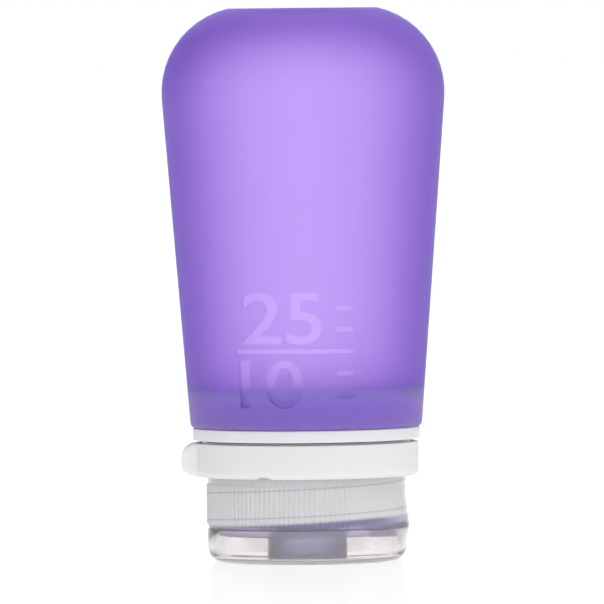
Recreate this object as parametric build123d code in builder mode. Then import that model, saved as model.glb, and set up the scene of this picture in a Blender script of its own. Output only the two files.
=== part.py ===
from build123d import *
import math
import os

# A travel squeeze bottle, standing on its closed lid with the silicone body on top.
# Lengths are in millimetres. The origin is the centre of the lid's flat base, and +Z runs up the bottle.

# Silicone body: a drafted bag with a round shoulder, a flat closed end and a neck
total_height = 102.3
body_max_radius = 26.2
body_end_radius = 13.8
foot_overhang = 0.35
shoulder_radius = 15.9
body_wall = 2.0
foot_edge_radius = 1.0
inner_foot_radius = 5.0
neck_wall = 1.4
lip_overhang = 0.6
lip_thickness = 1.1

# Rigid collar: a flange under the body and a sleeve round the neck
flange_overhang = 0.3
flange_thickness = 2.2
flange_draft = 0.1
flange_edge = 0.25
sleeve_wall = 1.2

# Screw cap
cap_radius = 18.3
cap_wall = 1.0
cap_height = 16.05
deck_thickness = 1.0
deck_sink = 0.3
spigot_wall = 1.1
spigot_drop = 1.15
thread_space = 1.2
grip_proud = 0.3
grip_bottom_rise = 0.5
grip_top_rise = 8.2
grip_bevel = 0.3
rib_foot_width = 0.75
rib_crest_width = 0.25
seat_proud = 0.95
seat_height = 6.25
seat_edge = 0.4
rim_edge = 0.15

# Spout, valve and retainer
spout_bore = 6.0
spout_wall = 1.4
spout_edge = 0.3
valve_flange_radius = 7.1
valve_flange_thickness = 0.9
valve_depth = 2.5
valve_wall = 0.8
membrane_thickness = 0.5
membrane_rise = 0.9
slit_length = 6.4
slit_width = 0.16
slit_direction = 45.0
retainer_radius = 8.0
retainer_thickness = 1.1
retainer_hole = 5.2
boss_wall = 1.0
bead_height = 0.5
bead_depth = 0.3

# Flip lid
lid_height = 6.3
lid_overhang = 0.2
lid_base_draft = 0.25
lid_wall = 1.3
lid_floor = 1.1
lid_edge_radius = 2.6
lid_inner_radius = 0.6
plug_wall = 0.8
plug_entry = 0.8

# Thumb rest: an off-centre cone on the cap and one on the lid, meeting at the parting line
thumb_direction = -22.0
thumb_proud = 0.95
thumb_offset = 4.4
cap_thumb_slope = 0.115
lid_thumb_slope = 0.28

# Hinge strap opposite the thumb rest
strap_width_angle = 30.0
strap_thickness = 0.3
strap_bow = 0.8
strap_span_up = 3.0
strap_span_down = 2.1

# Carrying loop
loop_wall = 1.25
loop_height = 6.25
loop_edge_radius = 1.0
loop_top_edge = 0.25
tab_direction = 180.0
tab_proud = 2.4
tab_width = 11.0
tab_corner_radius = 2.5
tab_side_radius = 1.2
tab_root_radius = 1.5
notch_direction = -113.6
notch_width = 3.1
notch_depth = 0.45

# Clearances
parting_gap = 0.1
collar_gap = 0.15
loop_top_gap = 0.4
seal_gap = 0.1
sleeve_fit = 0.1
loop_fit = 0.25
lid_fit = 0.2
plug_fit = 0.35
spout_end_gap = 0.3
valve_fit = 0.15
retainer_fit = 0.15
strap_fit = 0.1
overrun = 1.0

# Ribs of each grip zone, counted in degrees from the thumb direction to either side
grip_start_angle = 44.2
rib_pitch_angle = 3.0
rib_count = 40

# Heights, worked up from the surface that the lid stands on
cap_bottom = lid_height + parting_gap
cap_top = cap_bottom + cap_height
deck_bottom = cap_bottom - deck_sink
deck_top = deck_bottom + deck_thickness
lip_bottom = deck_top + seal_gap
lip_top = lip_bottom + lip_thickness
sleeve_end = lip_top + sleeve_fit
flange_bottom = cap_top + collar_gap
body_foot = flange_bottom + flange_thickness
body_floor = body_foot + body_wall
loop_top = cap_top - loop_top_gap
loop_bottom = loop_top - loop_height
spout_end = lid_floor + spout_end_gap
plug_top = spout_end + plug_entry

# Radii, worked outwards from the cap's skirt
grip_radius = cap_radius + grip_proud
seat_radius = cap_radius + seat_proud
lid_rim_radius = cap_radius + lid_overhang
thumb_reach = cap_radius + thumb_proud
strap_reach = lid_rim_radius + strap_bow
loop_bore = seat_radius + loop_fit
loop_radius = loop_bore + loop_wall
tab_reach = loop_radius + tab_proud
flange_radius = loop_radius + flange_overhang
body_foot_radius = flange_radius + foot_overhang

# Radii, worked inwards from the cap's skirt
cap_bore = cap_radius - cap_wall
sleeve_radius = cap_bore - thread_space
sleeve_bore = sleeve_radius - sleeve_wall
lip_radius = sleeve_bore + lip_overhang
neck_radius = sleeve_bore - sleeve_fit
neck_bore = neck_radius - neck_wall
lid_bore = lid_rim_radius - lid_wall
spigot_radius = lid_bore - lid_fit
spout_radius = spout_bore + spout_wall
plug_radius = spout_bore - plug_fit
plug_bore = plug_radius - plug_wall
valve_radius = spout_bore - valve_fit
boss_bore = retainer_radius + retainer_fit
boss_radius = boss_bore + boss_wall

os.makedirs("parts", exist_ok=True)


def around(radius, direction, height):
    """The point at a radius and a direction in degrees round the bottle's axis."""
    angle = math.radians(direction)
    return (radius * math.cos(angle), radius * math.sin(angle), height)


# The shoulder is an arc that the drafted side touches, and both walls share its centre
shoulder_x = body_max_radius - shoulder_radius
shoulder_z = total_height - math.sqrt(shoulder_radius**2 - (body_end_radius - shoulder_x) ** 2)
foot_angle = math.atan2(body_foot - shoulder_z, body_foot_radius - shoulder_x)
foot_distance = math.hypot(body_foot - shoulder_z, body_foot_radius - shoulder_x)
draft_angle = foot_angle + math.acos(shoulder_radius / foot_distance)


def on_shoulder(radius, angle):
    """A point on a circle round the shoulder's centre, in the section plane."""
    return (shoulder_x + radius * math.cos(angle), shoulder_z + radius * math.sin(angle))


def shoulder_angle(radius, height):
    """Where a circle round the shoulder's centre reaches a height."""
    return math.asin((height - shoulder_z) / radius)


# Silicone body with its neck and sealing lip
inner_shoulder = shoulder_radius - body_wall
end_inside = total_height - body_wall
outer_end_angle = shoulder_angle(shoulder_radius, total_height)
inner_end_angle = shoulder_angle(inner_shoulder, end_inside)
outer_middle_angle = (draft_angle + outer_end_angle) / 2
inner_middle_angle = (draft_angle + inner_end_angle) / 2
outer_side = on_shoulder(shoulder_radius, draft_angle)
inner_side = on_shoulder(inner_shoulder, draft_angle)
draft_slope = (outer_side[0] - body_foot_radius) / (outer_side[1] - body_foot)
inner_foot_x = inner_side[0] - draft_slope * (inner_side[1] - body_floor)

with BuildPart() as bottle_body:
    with BuildSketch(Plane.XZ):
        with BuildLine():
            Polyline((neck_radius, body_foot), (body_foot_radius, body_foot), outer_side)
            ThreePointArc(
                outer_side,
                on_shoulder(shoulder_radius, outer_middle_angle),
                on_shoulder(shoulder_radius, outer_end_angle),
            )
            Polyline(
                on_shoulder(shoulder_radius, outer_end_angle),
                (0, total_height),
                (0, end_inside),
                on_shoulder(inner_shoulder, inner_end_angle),
            )
            ThreePointArc(
                on_shoulder(inner_shoulder, inner_end_angle),
                on_shoulder(inner_shoulder, inner_middle_angle),
                inner_side,
            )
            Polyline(
                inner_side,
                (inner_foot_x, body_floor),
                (neck_bore, body_floor),
                (neck_bore, lip_bottom),
                (lip_radius, lip_bottom),
                (lip_radius, lip_top),
                (neck_radius, lip_top),
                (neck_radius, body_foot),
            )
        make_face()
    revolve(axis=Axis.Z)
    circles = bottle_body.edges().filter_by(GeomType.CIRCLE)
    foot_edges = circles.filter_by_position(Axis.Z, body_foot, body_foot)
    fillet(foot_edges.sort_by(SortBy.LENGTH)[-1], foot_edge_radius)
    circles = bottle_body.edges().filter_by(GeomType.CIRCLE)
    floor_edges = circles.filter_by_position(Axis.Z, body_floor, body_floor)
    fillet(floor_edges.sort_by(SortBy.LENGTH)[-1], inner_foot_radius)
bottle_body.part.label = "bottle_body"

# Collar: flange and sleeve in one
with BuildPart() as threaded_collar:
    with BuildSketch(Plane.XZ):
        with BuildLine():
            Polyline(
                (sleeve_bore, body_foot),
                (flange_radius, body_foot),
                (flange_radius - flange_draft, flange_bottom),
                (sleeve_radius, flange_bottom),
                (sleeve_radius, sleeve_end),
                (sleeve_bore, sleeve_end),
                close=True,
            )
        make_face()
    revolve(axis=Axis.Z)
    rim_edges = threaded_collar.edges().filter_by(GeomType.CIRCLE).sort_by(SortBy.LENGTH)[-2:]
    fillet(rim_edges, flange_edge)
threaded_collar.part.label = "threaded_collar"

# Grip: two zones of pointed ribs that start inside the skirt, cut to one height and bevelled at both ends
grip_low = cap_bottom + grip_bottom_rise
grip_high = cap_bottom + grip_top_rise
grip_root = cap_radius - cap_wall / 2
rib_flank = (rib_foot_width - rib_crest_width) / grip_proud
rib_apex = grip_radius + rib_crest_width / rib_flank
rib_root_width = rib_flank * (rib_apex - cap_bore)
zone_angle = rib_count * rib_pitch_angle

with BuildPart() as grip:
    with BuildSketch(Plane.XY.offset(grip_low - overrun)):
        for start in (grip_start_angle, rib_pitch_angle - grip_start_angle - zone_angle):
            with PolarLocations(0, rib_count, thumb_direction + start, zone_angle):
                Polygon(
                    (cap_bore, -rib_root_width / 2),
                    (rib_apex, 0),
                    (cap_bore, rib_root_width / 2),
                    align=None,
                )
    extrude(amount=grip_high - grip_low + 2 * overrun)
    with BuildSketch(Plane.XZ):
        with BuildLine():
            Polyline(
                (grip_root, grip_low),
                (cap_radius, grip_low),
                (grip_radius, grip_low + grip_bevel),
                (grip_radius, grip_high - grip_bevel),
                (cap_radius, grip_high),
                (grip_root, grip_high),
                close=True,
            )
        make_face()
    revolve(axis=Axis.Z, mode=Mode.INTERSECT)

# Screw cap: skirt, loop seat, thumb rest and grip outside, then the bore, deck, spigot, boss and spout
thumb_circle = thumb_reach - thumb_offset
cap_thumb_height = (thumb_reach - cap_radius + cap_wall / 2) / cap_thumb_slope
lid_thumb_height = (thumb_reach - lid_rim_radius + lid_wall / 2) / lid_thumb_slope
bead_bottom = deck_top + seal_gap + valve_flange_thickness + retainer_thickness + retainer_fit

with BuildPart() as cap:
    with Locations((0, 0, cap_bottom)):
        Cylinder(cap_radius, cap_height, align=(Align.CENTER, Align.CENTER, Align.MIN))
    with Locations((0, 0, cap_top)):
        Cylinder(seat_radius, seat_height, align=(Align.CENTER, Align.CENTER, Align.MAX))
    seat_rims = cap.edges().filter_by(GeomType.CIRCLE).sort_by(SortBy.LENGTH)[-2:].sort_by(Axis.Z)
    chamfer(seat_rims[0], seat_edge)
    seat_rims = cap.edges().filter_by(GeomType.CIRCLE).sort_by(SortBy.LENGTH)[-2:].sort_by(Axis.Z)
    chamfer(seat_rims[-1], rim_edge)
    with Locations(around(thumb_offset, thumb_direction, cap_bottom)):
        Cone(
            thumb_circle,
            thumb_circle - cap_thumb_slope * cap_thumb_height,
            cap_thumb_height,
            align=(Align.CENTER, Align.CENTER, Align.MIN),
        )
    add(grip.part)
    with Locations((0, 0, deck_top)):
        Cylinder(
            cap_bore,
            cap_height + overrun,
            align=(Align.CENTER, Align.CENTER, Align.MIN),
            mode=Mode.SUBTRACT,
        )
    with BuildSketch(Plane.XZ):
        with BuildLine():
            Polyline(
                (0, deck_top),
                (0, spout_end),
                (spout_radius - spout_edge, spout_end),
                (spout_radius, spout_end + spout_edge),
                (spout_radius, deck_bottom),
                (spigot_radius - spigot_wall, deck_bottom),
                (spigot_radius - spigot_wall, deck_bottom - spigot_drop),
                (spigot_radius, deck_bottom - spigot_drop),
                (spigot_radius, deck_top),
                close=True,
            )
        make_face()
    revolve(axis=Axis.Z)
    with BuildSketch(Plane.XZ):
        with BuildLine():
            Polyline(
                (boss_bore, deck_top - deck_thickness / 2),
                (boss_radius, deck_top - deck_thickness / 2),
                (boss_radius, bead_bottom + bead_height),
                (boss_bore, bead_bottom + bead_height),
                (boss_bore - bead_depth, bead_bottom + bead_height / 2),
                (boss_bore, bead_bottom),
                close=True,
            )
        make_face()
    revolve(axis=Axis.Z)
    with Locations((0, 0, spout_end - overrun)):
        Cylinder(
            spout_bore,
            deck_top - spout_end + 2 * overrun,
            align=(Align.CENTER, Align.CENTER, Align.MIN),
            mode=Mode.SUBTRACT,
        )
cap.part.label = "cap"

# Valve: a soft cup whose domed floor is cut by two crossing slits
valve_end = deck_top - valve_depth
valve_bore = valve_radius - valve_wall
dome_radius = (valve_bore**2 + membrane_rise**2) / (2 * membrane_rise)
dome_angle = math.asin(valve_bore / dome_radius)


def on_dome(angle, lift):
    """A point of the domed floor, an angle off its top and a lift above its lower face."""
    drop = dome_radius * (1 - math.cos(angle))
    return (dome_radius * math.sin(angle), valve_end + membrane_rise + lift - drop)


with BuildPart() as valve:
    with BuildSketch(Plane.XZ):
        with BuildLine():
            Line(on_dome(0, 0), on_dome(0, membrane_thickness))
            ThreePointArc(
                on_dome(0, membrane_thickness),
                on_dome(dome_angle / 2, membrane_thickness),
                on_dome(dome_angle, membrane_thickness),
            )
            Polyline(
                on_dome(dome_angle, membrane_thickness),
                (valve_bore, deck_top + valve_flange_thickness),
                (valve_flange_radius, deck_top + valve_flange_thickness),
                (valve_flange_radius, deck_top),
                (valve_radius, deck_top),
                (valve_radius, valve_end),
                on_dome(dome_angle, 0),
            )
            ThreePointArc(on_dome(dome_angle, 0), on_dome(dome_angle / 2, 0), on_dome(0, 0))
        make_face()
    revolve(axis=Axis.Z)
    with BuildSketch(Plane.XY.offset(valve_end)):
        with PolarLocations(0, 2, start_angle=slit_direction, angular_range=180):
            Rectangle(slit_length, slit_width)
    extrude(amount=valve_depth, mode=Mode.SUBTRACT)
valve.part.label = "valve"

# Retainer: a stepped ring that holds the valve's flange down
ledge_bottom = deck_top + valve_flange_thickness + seal_gap
with BuildPart() as valve_retainer:
    with BuildSketch(Plane.XZ):
        with BuildLine():
            Polyline(
                (valve_flange_radius + valve_fit, deck_top + seal_gap),
                (retainer_radius, deck_top + seal_gap),
                (retainer_radius, ledge_bottom + retainer_thickness - seal_gap),
                (retainer_hole, ledge_bottom + retainer_thickness - seal_gap),
                (retainer_hole, ledge_bottom),
                (valve_flange_radius + valve_fit, ledge_bottom),
                close=True,
            )
        make_face()
    revolve(axis=Axis.Z)
valve_retainer.part.label = "valve_retainer"

# Flip lid: a clear cup with a plug ring that enters the spout, and its half of the thumb rest
lid_base_radius = lid_rim_radius - lid_base_draft
with BuildPart() as lid:
    with BuildSketch(Plane.XZ):
        with BuildLine():
            Polyline(
                (0, 0),
                (lid_base_radius, 0),
                (lid_rim_radius, lid_height),
                (0, lid_height),
                close=True,
            )
        make_face()
    revolve(axis=Axis.Z)
    fillet(lid.edges().filter_by(GeomType.CIRCLE).sort_by(Axis.Z)[0], lid_edge_radius)
    with Locations(around(thumb_offset, thumb_direction, lid_height)):
        Cone(
            thumb_circle - lid_thumb_slope * lid_thumb_height,
            thumb_circle,
            lid_thumb_height,
            align=(Align.CENTER, Align.CENTER, Align.MAX),
        )
    with BuildSketch(Plane.XZ):
        with BuildLine():
            Polyline(
                (0, lid_floor),
                (lid_bore, lid_floor),
                (lid_bore, lid_height + overrun),
                (0, lid_height + overrun),
                close=True,
            )
        pocket = make_face()
        fillet(pocket.vertices().group_by(Axis.Y)[0].sort_by(Axis.X)[-1], lid_inner_radius)
    revolve(axis=Axis.Z, mode=Mode.SUBTRACT)
    with BuildSketch(Plane.XY.offset(lid_floor / 2)):
        Circle(plug_radius)
        Circle(plug_bore, mode=Mode.SUBTRACT)
    extrude(amount=plug_top - lid_floor / 2)
lid.part.label = "lid"

# Hinge strap: a thin bowed band from the skirt to the lid's side
strap_high = cap_bottom + strap_span_up
strap_low = lid_height - strap_span_down
strap_middle = (strap_high + strap_low) / 2
strap_foot = lid_rim_radius + strap_fit
with BuildPart() as hinge_strap:
    with BuildSketch(Plane.XZ.rotated((0, 0, thumb_direction + 180 - strap_width_angle / 2))):
        with BuildLine():
            ThreePointArc((cap_radius, strap_high), (strap_reach, strap_middle), (strap_foot, strap_low))
            Line((strap_foot, strap_low), (strap_foot, strap_low + 2 * strap_thickness))
            ThreePointArc(
                (strap_foot, strap_low + 2 * strap_thickness),
                (strap_reach - strap_thickness, strap_middle),
                (cap_radius, strap_high - 2 * strap_thickness),
            )
            Line((cap_radius, strap_high - 2 * strap_thickness), (cap_radius, strap_high))
        make_face()
    revolve(axis=Axis.Z, revolution_arc=strap_width_angle)
hinge_strap.part.label = "hinge_strap"

# Loop: a soft band round the cap with a rounded pull tab and a small arched notch
notch_radius = (notch_width**2 / 4 + notch_depth**2) / (2 * notch_depth)
tab_plane = Plane.XZ.rotated((0, 0, tab_direction))
plan_plane = Plane.XY.rotated((0, 0, tab_direction)).offset(loop_bottom)

with BuildPart() as loop:
    with BuildSketch(Plane.XY.offset(loop_bottom)):
        Circle(loop_radius)
    extrude(amount=loop_height)
    outer_rims = loop.edges().filter_by(GeomType.CIRCLE).sort_by(Axis.Z)
    fillet(outer_rims[0], loop_edge_radius)
    fillet(loop.edges().filter_by(GeomType.CIRCLE).sort_by(Axis.Z)[-1], loop_top_edge)
    with BuildSketch(tab_plane):
        with BuildLine():
            Polyline(
                (loop_bore, loop_bottom),
                (tab_reach, loop_bottom),
                (tab_reach, loop_top),
                (loop_bore, loop_top),
                close=True,
            )
        tab_face = make_face()
        fillet(tab_face.vertices().group_by(Axis.X)[-1], tab_corner_radius)
    extrude(amount=tab_width / 2 + tab_root_radius, both=True)
    with BuildSketch(plan_plane) as plan:
        Circle(loop_radius)
        with Locations((tab_reach / 2, 0)):
            Rectangle(tab_reach, tab_width)
        fillet(plan.vertices().group_by(Axis.X)[-1], tab_side_radius)
        fillet(plan.vertices().group_by(Axis.X)[0], tab_root_radius)
    extrude(amount=loop_height, mode=Mode.INTERSECT)
    with BuildSketch(Plane.XY.offset(loop_bottom - overrun)):
        Circle(loop_bore)
    extrude(amount=loop_height + 2 * overrun, mode=Mode.SUBTRACT)
    notch_plane = Plane(
        origin=around(0, notch_direction, loop_bottom + notch_depth - notch_radius),
        z_dir=around(1, notch_direction, 0),
    )
    with BuildSketch(notch_plane):
        Circle(notch_radius)
    extrude(amount=loop_radius + overrun, mode=Mode.SUBTRACT)
loop.part.label = "loop"

export_step(bottle_body.part, "parts/bottle_body.step")
export_step(threaded_collar.part, "parts/threaded_collar.step")
export_step(cap.part, "parts/cap.step")
export_step(valve.part, "parts/valve.step")
export_step(valve_retainer.part, "parts/valve_retainer.step")
export_step(lid.part, "parts/lid.step")
export_step(hinge_strap.part, "parts/hinge_strap.step")
export_step(loop.part, "parts/loop.step")
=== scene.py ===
# %% [markdown]
# # A squeezable travel bottle of silicone
#
# This lesson dresses a small travel bottle: a soft violet silicone body that stands upside down on its
# closed flip lid, a rigid white collar, a frosted screw cap with a ribbed grip, and a soft white loop with
# a pull tab. The sizes come from a model of the same bottle that is already packed, with one body for each
# thing that moves. We load that model as a fixed frame and build each piece where its solid lies, so
# nothing has to be fitted later.

# %% Load the frame
import math

import bpy
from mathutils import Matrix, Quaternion, Vector


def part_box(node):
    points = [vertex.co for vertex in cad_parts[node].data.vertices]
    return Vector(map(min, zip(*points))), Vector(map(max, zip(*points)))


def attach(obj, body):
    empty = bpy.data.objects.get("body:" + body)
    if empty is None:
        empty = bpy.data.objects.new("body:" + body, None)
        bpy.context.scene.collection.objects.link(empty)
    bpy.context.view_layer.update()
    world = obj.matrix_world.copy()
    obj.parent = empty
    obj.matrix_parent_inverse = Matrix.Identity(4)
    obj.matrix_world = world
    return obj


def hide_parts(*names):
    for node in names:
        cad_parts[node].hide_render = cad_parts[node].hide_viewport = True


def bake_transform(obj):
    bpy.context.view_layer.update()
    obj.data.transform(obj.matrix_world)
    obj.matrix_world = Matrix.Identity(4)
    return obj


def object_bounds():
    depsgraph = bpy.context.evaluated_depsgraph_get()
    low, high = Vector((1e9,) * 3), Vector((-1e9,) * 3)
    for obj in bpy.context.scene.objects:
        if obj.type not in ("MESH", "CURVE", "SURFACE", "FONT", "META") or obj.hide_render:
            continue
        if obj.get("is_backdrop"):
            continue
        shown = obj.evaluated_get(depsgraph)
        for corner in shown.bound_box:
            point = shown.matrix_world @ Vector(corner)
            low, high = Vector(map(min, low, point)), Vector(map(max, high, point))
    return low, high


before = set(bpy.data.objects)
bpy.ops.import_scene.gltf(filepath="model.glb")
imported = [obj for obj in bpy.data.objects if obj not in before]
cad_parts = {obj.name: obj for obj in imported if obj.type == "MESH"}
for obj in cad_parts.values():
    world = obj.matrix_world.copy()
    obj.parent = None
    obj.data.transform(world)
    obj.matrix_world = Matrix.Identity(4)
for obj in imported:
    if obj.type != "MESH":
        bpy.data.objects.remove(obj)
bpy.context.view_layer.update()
MM = 0.001


def reach(node):
    """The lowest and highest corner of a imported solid, in millimetres."""
    low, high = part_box(node)
    return low / MM, high / MM


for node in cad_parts:
    low, high = reach(node)
    print(f"{node}: {[round(v, 2) for v in low]} to {[round(v, 2) for v in high]} mm")

# %% [markdown]
# ## The camera
#
# A product picture like this one is taken from far away with a long lens, which keeps upright sides
# upright. We stand the camera nearly two metres off, a little below the bottle's top, and tip it down so
# that the picture is centred. The whole bottle leans by about half a degree in the picture, so the camera
# is rolled by as much.

# %% Place the camera
PICTURE_WIDTH = 604
FOCAL_PIXELS = 10000
SENSOR_WIDTH = 36.0
CAMERA_DISTANCE = 1850.0
CAMERA_HEIGHT = 100.0
AIM_HEIGHT = 47.9
AIM_SIDE = -0.57
LEAN = math.radians(0.57)

bpy.ops.object.camera_add()
camera = bpy.context.object
camera.name = "camera"
camera.data.sensor_width = SENSOR_WIDTH
camera.data.lens = FOCAL_PIXELS / PICTURE_WIDTH * SENSOR_WIDTH
camera.location = Vector((AIM_SIDE, -CAMERA_DISTANCE, CAMERA_HEIGHT)) * MM
aim = Vector((AIM_SIDE, 0, AIM_HEIGHT)) * MM
level_turn = (aim - camera.location).to_track_quat("-Z", "Y")
camera.rotation_mode = "QUATERNION"
camera.rotation_quaternion = level_turn @ Quaternion((0, 0, 1), -LEAN)
bpy.context.scene.camera = camera
print(f"lens {camera.data.lens:.0f} mm")

# %% [markdown]
# ## Colours and shader nodes
#
# Hex colours are written the way a screen shows them, while the renderer works with linear light, so one
# function turns the first into the second. A second function adds a shader node, sets its sockets and links
# its inputs.

# %% Helpers for colours and nodes


def linear(code):
    """A colour written as sRGB hex, as linear red, green and blue with an alpha of 1."""
    shares = [int(code[i : i + 2], 16) / 255 for i in (0, 2, 4)]
    return [s / 12.92 if s <= 0.04045 else ((s + 0.055) / 1.055) ** 2.4 for s in shares] + [1.0]


def add(tree, kind, settings=None, links=None):
    """Adds a node, sets its properties and sockets by name or number, and links outputs to its inputs."""
    node = tree.nodes.new(kind)
    for name, value in (settings or {}).items():
        if isinstance(name, int) or name in node.inputs:
            node.inputs[name].default_value = value
        else:
            setattr(node, name, value)
    for name, output in (links or {}).items():
        tree.links.new(output, node.inputs[name])
    return node


# %% [markdown]
# ## Light and table
#
# Clear and frosted plastics show what is behind and beside them. In a studio that is a white card behind
# the object, soft boxes round it, and darker air in between, which draws the dark outlines. We build it as
# a sky whose brightness swings with the direction: four times round for the boxes, twice for a brighter
# front and back, and once for the box on the right, which stands a little closer. A broad box before the
# bottle brightens the front, and the back falls off by as much. Boxes stand on the floor, so the light is
# also stronger near the horizon than overhead, and that lets it into the narrow gaps. The camera sees plain
# white there.
#
# The bottle stands on a table of milky acrylic, which is lit from below, as such tables are. It shows a
# faint reflection and a faint shadow, and what swings or screws down through it can still be seen. From
# below the sheet is left out of the picture.

# %% Light the studio
MEAN_LIGHT = 0.83
SWINGS = {4: 0.265, 2: -0.30, 1: 0.16}
FRONT_BOX = 0.32
HORIZON = 0.6
MEAN_SQUARE = 1 / 3
TABLE_LIGHT = 1.02

world = bpy.data.worlds.new("studio")
bpy.context.scene.world = world
world.use_nodes = True
sky = world.node_tree
sky.nodes.clear()
direction = add(sky, "ShaderNodeTexCoord")
parts = add(sky, "ShaderNodeSeparateXYZ", links={"Vector": direction.outputs["Generated"]})
azimuth = add(
    sky,
    "ShaderNodeMath",
    {"operation": "ARCTAN2"},
    {0: parts.outputs["Y"], 1: parts.outputs["X"]},
)
light = add(sky, "ShaderNodeMath", {"operation": "ADD", 0: MEAN_LIGHT, 1: 0.0})
for times, swing in SWINGS.items():
    turns = add(sky, "ShaderNodeMath", {"operation": "MULTIPLY", 1: times}, {0: azimuth.outputs[0]})
    wave = add(sky, "ShaderNodeMath", {"operation": "COSINE"}, {0: turns.outputs[0]})
    light = add(
        sky,
        "ShaderNodeMath",
        {"operation": "MULTIPLY_ADD", 1: swing},
        {0: wave.outputs[0], 2: light.outputs[0]},
    )
front_box = add(
    sky,
    "ShaderNodeMath",
    {"operation": "MULTIPLY_ADD", 1: -FRONT_BOX},
    {0: parts.outputs["Y"], 2: light.outputs[0]},
)
# The mean of the squared height over the whole sky is a third, so this keeps the average light.
overhead = add(sky, "ShaderNodeMath", {"operation": "POWER", 1: 2}, {0: parts.outputs["Z"]})
low_boxes = add(
    sky,
    "ShaderNodeMath",
    {"operation": "SUBTRACT", 0: MEAN_SQUARE},
    {1: overhead.outputs[0]},
)
light = add(
    sky,
    "ShaderNodeMath",
    {"operation": "MULTIPLY_ADD", 1: HORIZON},
    {0: low_boxes.outputs[0], 2: front_box.outputs[0]},
)
below = add(sky, "ShaderNodeMath", {"operation": "LESS_THAN", 1: 0.0}, {0: parts.outputs["Z"]})
all_round = add(
    sky,
    "ShaderNodeMix",
    {"data_type": "FLOAT", "B": TABLE_LIGHT},
    {"Factor": below.outputs[0], "A": light.outputs[0]},
)
seen = add(sky, "ShaderNodeLightPath")
brightness = add(
    sky,
    "ShaderNodeMix",
    {"data_type": "FLOAT", "B": 1.0},
    {"Factor": seen.outputs["Is Camera Ray"], "A": all_round.outputs["Result"]},
)
card = add(
    sky,
    "ShaderNodeBackground",
    {"Color": linear("FFFFFF")},
    {"Strength": brightness.outputs["Result"]},
)
add(sky, "ShaderNodeOutputWorld", links={"Surface": card.outputs["Background"]})
swing_sum = sum(abs(swing) for swing in SWINGS.values()) + FRONT_BOX
horizon_light = MEAN_LIGHT + HORIZON * MEAN_SQUARE
print(f"sky at the horizon within {horizon_light:.2f} plus or minus {swing_sum:.2f}")

# %% Lay the table
TABLE_SIZE = 40.0
TABLE_GLOW = 0.36
TABLE_MILK = 0.5
LIGHT_BOUNCES = 32

bpy.ops.mesh.primitive_plane_add(size=TABLE_SIZE)
table = bpy.context.object
table.name = "studio_floor"
acrylic = bpy.data.materials.new("milky_acrylic_table")
acrylic.use_nodes = True
sheet = acrylic.node_tree
sheet.nodes.clear()
milk = add(
    sheet,
    "ShaderNodeBsdfPrincipled",
    {
        "Base Color": linear("F2F2F2"),
        "Roughness": 0.22,
        "Specular IOR Level": 0.25,
        "Emission Color": linear("FFFFFF"),
        "Emission Strength": TABLE_GLOW,
    },
)
side = add(sheet, "ShaderNodeNewGeometry")
from_above = add(
    sheet,
    "ShaderNodeMath",
    {"operation": "MULTIPLY_ADD", 1: -TABLE_MILK, 2: TABLE_MILK},
    {0: side.outputs["Backfacing"]},
)
see_through = add(sheet, "ShaderNodeBsdfTransparent")
acrylic_mix = add(
    sheet,
    "ShaderNodeMixShader",
    links={0: from_above.outputs[0], 1: see_through.outputs["BSDF"], 2: milk.outputs["BSDF"]},
)
add(sheet, "ShaderNodeOutputMaterial", links={"Surface": acrylic_mix.outputs["Shader"]})
table.data.materials.append(acrylic)
table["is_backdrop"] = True

view = bpy.context.scene.view_settings
view.view_transform = "Standard"
view.look = "None"
light_paths = bpy.context.scene.cycles
light_paths.max_bounces = LIGHT_BOUNCES
light_paths.transmission_bounces = LIGHT_BOUNCES
print(f"table {TABLE_SIZE:.0f} m wide, {TABLE_MILK:.0%} milk, light followed for {LIGHT_BOUNCES} bounces")

# %% [markdown]
# ## Turning a section into a solid
#
# Nearly every piece of a bottle is round, so it can be made as on a lathe: draw half of its section and
# turn it about the axis. We place the vertices of a circle primitive on that section, spin it in edit mode,
# and merge what meets on the axis. Mould corners are never sharp, so a corner may carry a radius, which
# becomes an arc.

# %% Helpers for outlines
ARC_STEP = math.radians(8)
SMALL_ARC_STEP = math.radians(32)
SMALL_RADIUS = 0.5
DOUBLES = 0.000001
SMOOTH_ANGLE = math.radians(30)
LATHE_STEPS = 256


def arc(centre, radius, first, last):
    """Points of an arc round a centre, between two angles, ends included."""
    step = ARC_STEP if radius > SMALL_RADIUS else SMALL_ARC_STEP
    count = max(2, math.ceil(abs(last - first) / step))
    angles = [first + (last - first) * i / count for i in range(count + 1)]
    return [(centre[0] + radius * math.cos(a), centre[1] + radius * math.sin(a)) for a in angles]


def rounded(corners):
    """Outline points from corners (radius, height) or (radius, height, rounding)."""
    points = []
    for before, corner, after in zip(corners[-1:] + corners[:-1], corners, corners[1:] + corners[:1]):
        if len(corner) == 2:
            points.append(corner)
            continue
        here = Vector(corner[:2])
        back = (Vector(before[:2]) - here).normalized()
        ahead = (Vector(after[:2]) - here).normalized()
        half = back.angle(ahead) / 2
        centre = here + (back + ahead).normalized() * corner[2] / math.sin(half)
        spoke_in = here + back * corner[2] / math.tan(half) - centre
        spoke_out = here + ahead * corner[2] / math.tan(half) - centre
        first = math.atan2(spoke_in.y, spoke_in.x)
        turn = (math.atan2(spoke_out.y, spoke_out.x) - first + math.pi) % math.tau - math.pi
        points += arc(centre, corner[2], first, first + turn)
    return points


# %% Helpers for lathe work


def deselect_all():
    """Leaves no object selected, since an operator acts on all that is."""
    bpy.ops.object.select_all(action="DESELECT")


def edit(piece):
    """Opens a piece alone in edit mode with all of it selected."""
    deselect_all()
    piece.select_set(True)
    bpy.context.view_layer.objects.active = piece
    bpy.ops.object.mode_set(mode="EDIT")
    bpy.ops.mesh.select_all(action="SELECT")


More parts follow.
